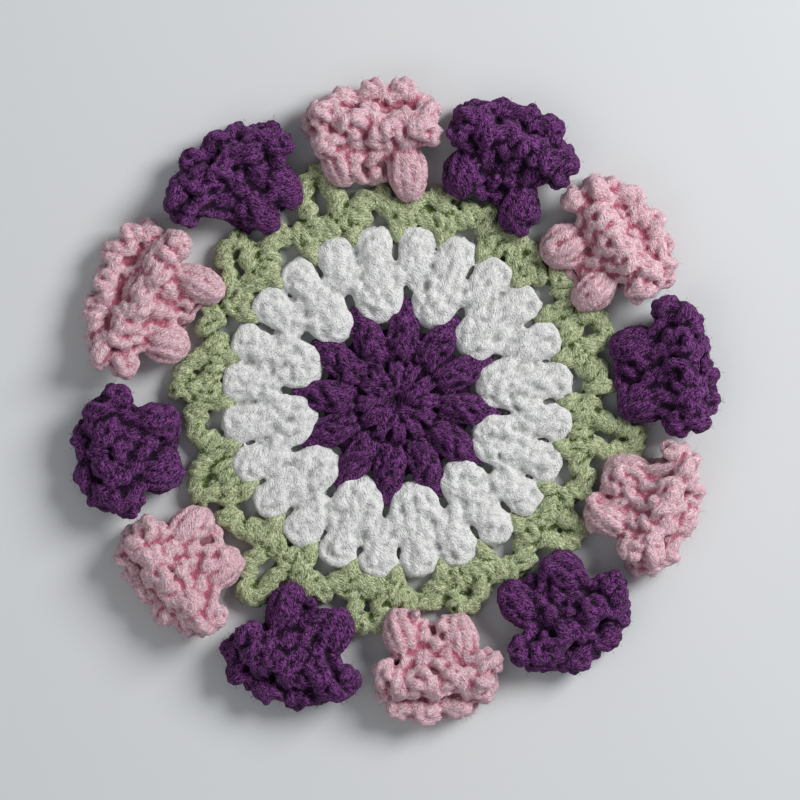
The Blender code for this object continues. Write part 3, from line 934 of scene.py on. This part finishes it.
FLOWER_PHASE = 6.0  # degrees
Puff = namedtuple("Puff", "x y half_width half_length")
FlowerRow = namedtuple("FlowerRow", "colour puffs upper far")
HEADS = [
    ("pink", ((-8, 62.5, 5.3, 6.2), (9, 57.5, 5.4, 6.8)),
     [(-13, 73), (-4.5, 71), (5, 68.5), (13, 67.5), (17, 71)],
     [(-14, 76), (-6.5, 78.5), (2.5, 80), (10.5, 79.5), (16, 76)]),
    ("purple", ((-8, 60, 5.6, 6), (8, 57.5, 4.8, 6)),
     [(-14, 72), (-6, 70.5), (3, 71.5), (10.5, 69.5), (16, 71)],
     [(-14, 76), (-8, 79), (-0.5, 81), (7.5, 80), (13.5, 76)]),
    ("pink", ((-7, 57.5, 6.2, 5.6), (6.5, 57, 5.2, 5.6)),
     [(-15, 71), (-8, 68.5), (-1, 68), (6, 67.5), (12.5, 69.5)],
     [(-14, 76), (-7, 79.5), (2, 80.5), (10, 77.5), (15.5, 72)]),
    ("purple", ((-8, 61.5, 5.2, 6), (7, 62, 5.2, 6)),
     [(-16, 73), (-8, 73), (0, 72.5), (8, 73), (14, 73)],
     [(-14, 76), (-8, 78.5), (0, 80), (8, 79), (12.5, 76)]),
    ("pink", ((-7, 61.5, 5.7, 6.2), (5, 61, 5, 6)),
     [(-15, 72), (-8, 71.5), (-2, 72), (5, 72), (10, 73)],
     [(-18, 74), (-10, 78.5), (-2, 80), (6, 79.5), (13, 77)]),
    ("purple", ((-9, 60.5, 5.4, 6), (5, 59.5, 5.2, 6)),
     [(-17, 71.5), (-9, 71), (0, 71.5), (10, 71)],
     [(-15.5, 78), (-8, 80.5), (1.5, 80.5), (9.5, 77)]),
    ("pink", ((-9.5, 61.5, 5.2, 6), (5, 58.5, 5.2, 6)),
     [(-15, 71.5), (-7, 70), (1, 70), (8.5, 69.5)],
     [(-15.5, 75.5), (-7.5, 79), (1, 80), (8, 78), (12, 73)]),
    ("purple", ((-9, 60, 5.4, 6), (4.5, 59, 5.2, 6)),
     [(-17, 71), (-10, 70.5), (1, 72), (9, 71)],
     [(-13.5, 76), (-8, 79), (0, 81), (8, 80.5), (13, 76)]),
    ("pink", ((-8, 61.2, 5.4, 6), (5, 61.2, 5.2, 6)),
     [(-17, 71.5), (-10.5, 71.5), (-2, 73), (5, 72.5), (11, 73)],
     [(-17, 76), (-9, 79.5), (0, 81), (8, 80), (13, 76)]),
    ("purple", ((-11.5, 62, 5.8, 5.8), (1.5, 61.5, 5.2, 6)),
     [(-18.5, 71.5), (-11, 73), (-1, 74), (7.5, 73.5)],
     [(-18, 78), (-11, 81), (-3, 81.5), (5, 79)]),
    ("pink", ((-10, 60, 5.8, 5.8), (7, 58, 5.2, 6.3)),
     [(-20.5, 72), (-13, 70), (-4, 68), (4, 67), (12, 67.5)],
     [(-19, 76), (-12, 79), (-3, 80.5), (5, 82), (11, 80), (15.5, 75)]),
    ("purple", ((0.5, 60, 4.6, 6.2), (8.8, 61.5, 4.8, 6)),
     [(-16, 73), (-9, 73), (-2, 72), (7, 72.5), (14, 70.5)],
     [(-15, 77.5), (-6, 81), (3.5, 81.5), (11.5, 78)]),
]
FLOWERS = [
    FlowerRow(colour, [Puff(*numbers) for numbers in puffs], upper, far)
    for colour, puffs, upper, far in HEADS
]
print("heads:", len(FLOWERS), "lobes:", sum(len(row.upper) + len(row.far) for row in FLOWERS))

# %% Edges and posts

PETAL_STRAND = 1.2
Band = namedtuple("Band", "edge foot spacing bow")


def rim(lobes, pocket_reach, crest, pocket):
    """The edge of a frill: it bulges at each lobe and turns back into a pocket between them."""
    points = []
    for before, after in zip(lobes, lobes[1:]):
        points.append((*before, crest + chance.uniform(-0.5, 0.5)))
        middle_y = (before[1] + after[1]) / 2 + pocket_reach
        points.append(((before[0] + after[0]) / 2, middle_y, pocket))
    return [*points, (*lobes[-1], crest - 0.5)]


def posts(band):
    """Bowed lines from a band's foot up to its edge, each with the radius of its strand."""
    run = run_of(band.edge)
    paths = []
    for place in np.arange(0.3, run[-1], band.spacing):
        top = np.array([np.interp(place, run, band.edge[:, axis]) for axis in range(3)])
        base = np.array(band.foot(*top))
        middle = (top + base) / 2 + np.array([0, *band.bow])
        paths.append((base, middle, top - np.array([0, 0, 0.4])))
    return [(path, PETAL_STRAND * chance.uniform(0.92, 1.08)) for path in paths]


def band_size(band):
    """Height, longest side and area, in metres, of the worked band between an edge and its foot."""
    base = np.array([band.foot(*spot) for spot in band.edge])
    height = np.linalg.norm(band.edge - base, axis=1).mean() * MM
    lines = [np.diff(line, axis=0) for line in (band.edge, base)]
    sides = [np.linalg.norm(line, axis=1).sum() * MM for line in lines]
    return height, max(sides), height * sum(sides) / 2


print("petal strands:", 2 * PETAL_STRAND, "mm thick")

# %% Flowers

PUFF_STRAND = 1.45
FOOT_BUNDLE = {"half_width": 2.6, "half_height": 2.2, "count": 7, "radius": 1.2}
FRILL = {"half_width": 1.7, "half_height": 1.6, "radius": 1.5, "pitch": 4.6}
FLOWER_VEES = {"spacing": 2.9, "near": 0.9, "radius": 1.25, "length": 4.6, "rise": 0.7}


def puff_strands(puffs, degrees):
    """The plump puffs of a head: bundles of yarn gathered at both ends."""
    found = []
    for puff in puffs:
        reach = puff.half_length - 1.4
        start, end = (puff.x, puff.y - reach, 4.6), (puff.x, puff.y + reach + 1.2, 6.0)
        line = turned([start, (puff.x, puff.y, 5.9), end], degrees)
        width = puff.half_width - PUFF_STRAND
        angle, turn = chance.uniform(0, 1), chance.uniform(-1.2, 1.2)
        found += bundle(line, width, 4.2, 10, PUFF_STRAND, angle, turn)
    return found


def flower_bands(row, foot_x):
    """The worked bands of a head: one on each face of the upper frill, and of the far one."""
    upper = soft_line(rim(row.upper, 3.6, 12.3, 9.5))
    far = soft_line(rim(row.far, -2.6, 7.0, 6.0))
    return [
        Band(upper, lambda x, y, z: (foot_x + (x - foot_x) * 0.5, 62.5, 6.8), 2.3, (-0.6, 1.0)),
        Band(upper, lambda x, y, z: (x, 75.0, 4.5), 2.3, (1.0, 0.8)),
        Band(far, lambda x, y, z: (x * 0.93, 73.0, 4.2), 2.3, (0.4, 0.3)),
        Band(far, lambda x, y, z: (foot_x + (x - foot_x) * 0.5, 58.0, 1.3), 3.2, (2.0, -3.4)),
    ]


def flower_strands(row, degrees):
    """The strands of one head without its puffs, and the flat size of the whole head."""
    foot_x = sum(puff.x for puff in row.puffs) / 2
    foot_y = max(puff.y for puff in row.puffs)
    bands = flower_bands(row, foot_x)
    foot = [(foot_x, foot_y - 2.5, 3.2), (foot_x, foot_y + 6.0, 5.2)]
    found = bundle(turned(foot, degrees), **FOOT_BUNDLE)
    drawn = [post for band in bands for post in posts(band)]
    found += [strand(soft_line(turned(path, degrees)), radius) for path, radius in drawn]
    for edge in (bands[0].edge, bands[-1].edge):
        found += knobs(turned(edge, degrees), **FRILL)
    heights, lengths, areas = zip(*map(band_size, bands))
    puff_area = sum(math.pi * puff.half_width * puff.half_length for puff in row.puffs) * MM**2
    return found, (sum(heights), max(lengths), sum(areas) + puff_area)


flowers = []
for index, row in enumerate(FLOWERS):
    node = f"flower_{index + 1:02d}_{row.colour}"
    degrees = FLOWER_PHASE + 3 * SECTOR - index * SECTOR
    drawn, flat = flower_strands(row, degrees)
    drawn += puff_strands(row.puffs, degrees)
    outwards = turned([(0, 1, 0)], degrees)[0]
    drawn += fill(node, **FLOWER_VEES, along=lambda spot: outwards, taken=drawn, clear=2.2)
    piece = yarn_piece(f"{node}_yarn", drawn, row.colour, node, tufts=0.28)
    flowers.append((piece, shade_ground_piece(node, row.colour, 1.5), flat))

# %% [markdown]
# ## The coaster as cloth
# Crochet has no cut pattern, so a flat size is what the worked piece measures pulled flat. A
# round lies flat already: its area is what its solid covers of the table, holes left out. A
# head is gathered: its cloth is the four bands between its edges and their feet, and its puffs.

# %% What each sheet measures pulled flat


def covered(node):
    """How much of the table a solid covers, in square metres, and its vertices."""
    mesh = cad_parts[node].data
    sizes, ways = read(mesh.polygons, "area", 1)[:, 0], read(mesh.polygons, "normal")
    return (sizes * np.maximum(ways[:, 2], 0)).sum(), read(mesh.vertices, "co")


rounds = (("centre", centre_ground, centre), ("white_ring", white_ground, white_round))
for node, ground, dressing in rounds:
    area, places = covered(node)
    width, length = (places.max(axis=0) - places.min(axis=0))[:2]
    print(f"{node}: {width / MM:.1f} by {length / MM:.1f} mm, {area / MM**2:.0f} mm2")
area, places = covered("leaf_ring")
for piece, ground, (width, length, area) in flowers:
    print(f"{piece.name}: {width / MM:.1f} by {length / MM:.1f} mm, {area / MM**2:.0f} mm2")

# %% [markdown]
# ## Floor, light and camera
# The coaster lies on a pale, dull floor. One large soft light comes from the side, so each
# strand has a lit and a shaded flank, and a weak one from the other side keeps the shadows
# open. The camera looks straight down from far off, so the flowers hardly lean outwards.

# %% Floor

FLOOR_COLOUR = (0.62, 0.63, 0.64, 1)

shape = bmesh.new()
bmesh.ops.create_grid(shape, x_segments=1, y_segments=1, size=2.0)
floor_mesh = bpy.data.meshes.new("floor")
shape.to_mesh(floor_mesh)
shape.free()
paper = new_finish("pale_floor", {"Base Color": FLOOR_COLOUR, "Roughness": 0.8})
floor_mesh.materials.append(paper[0])
floor = shown("floor", floor_mesh)
print("floor in m:", tuple(round(side, 2) for side in floor.dimensions))

# %% Light

SKY_COLOUR, SKY_STRENGTH = (0.92, 0.96, 1.0, 1), 0.28

world = bpy.data.worlds.new("studio")
bpy.context.scene.world = world
world.use_nodes = True
sky = world.node_tree.nodes["Background"]
sky.inputs[0].default_value = SKY_COLOUR
sky.inputs[1].default_value = SKY_STRENGTH


def soft_light(name, place, size, power):
    """A round soft light that points at the mat's middle."""
    data = bpy.data.lights.new(name, "AREA")
    data.shape = "DISK"
    data.size = size
    data.energy = power
    light = shown(name, data)
    light.location = place
    light.rotation_mode = "QUATERNION"
    light.rotation_quaternion = (-Vector(place)).to_track_quat("-Z", "Y")
    print(f"{name}: {power} W, {size} m across")


soft_light("window", (0.75, 0.42, 0.72), 0.55, 13.5)
soft_light("bounce", (-0.6, -0.5, 0.9), 0.9, 2.0)

# %% Camera

CAMERA_HEIGHT = 0.9
VIEW_WIDTH = 0.2053  # of the table that the view takes in

camera_data = bpy.data.cameras.new("camera")
camera_data.sensor_width = 36.0
camera_data.lens = camera_data.sensor_width * CAMERA_HEIGHT / VIEW_WIDTH
camera = shown("camera", camera_data)
camera.location = (0.00077, 0.00051, CAMERA_HEIGHT)
bpy.context.scene.camera = camera
bpy.context.scene.view_settings.view_transform = "Standard"
print("lens in mm:", round(camera_data.lens, 1))
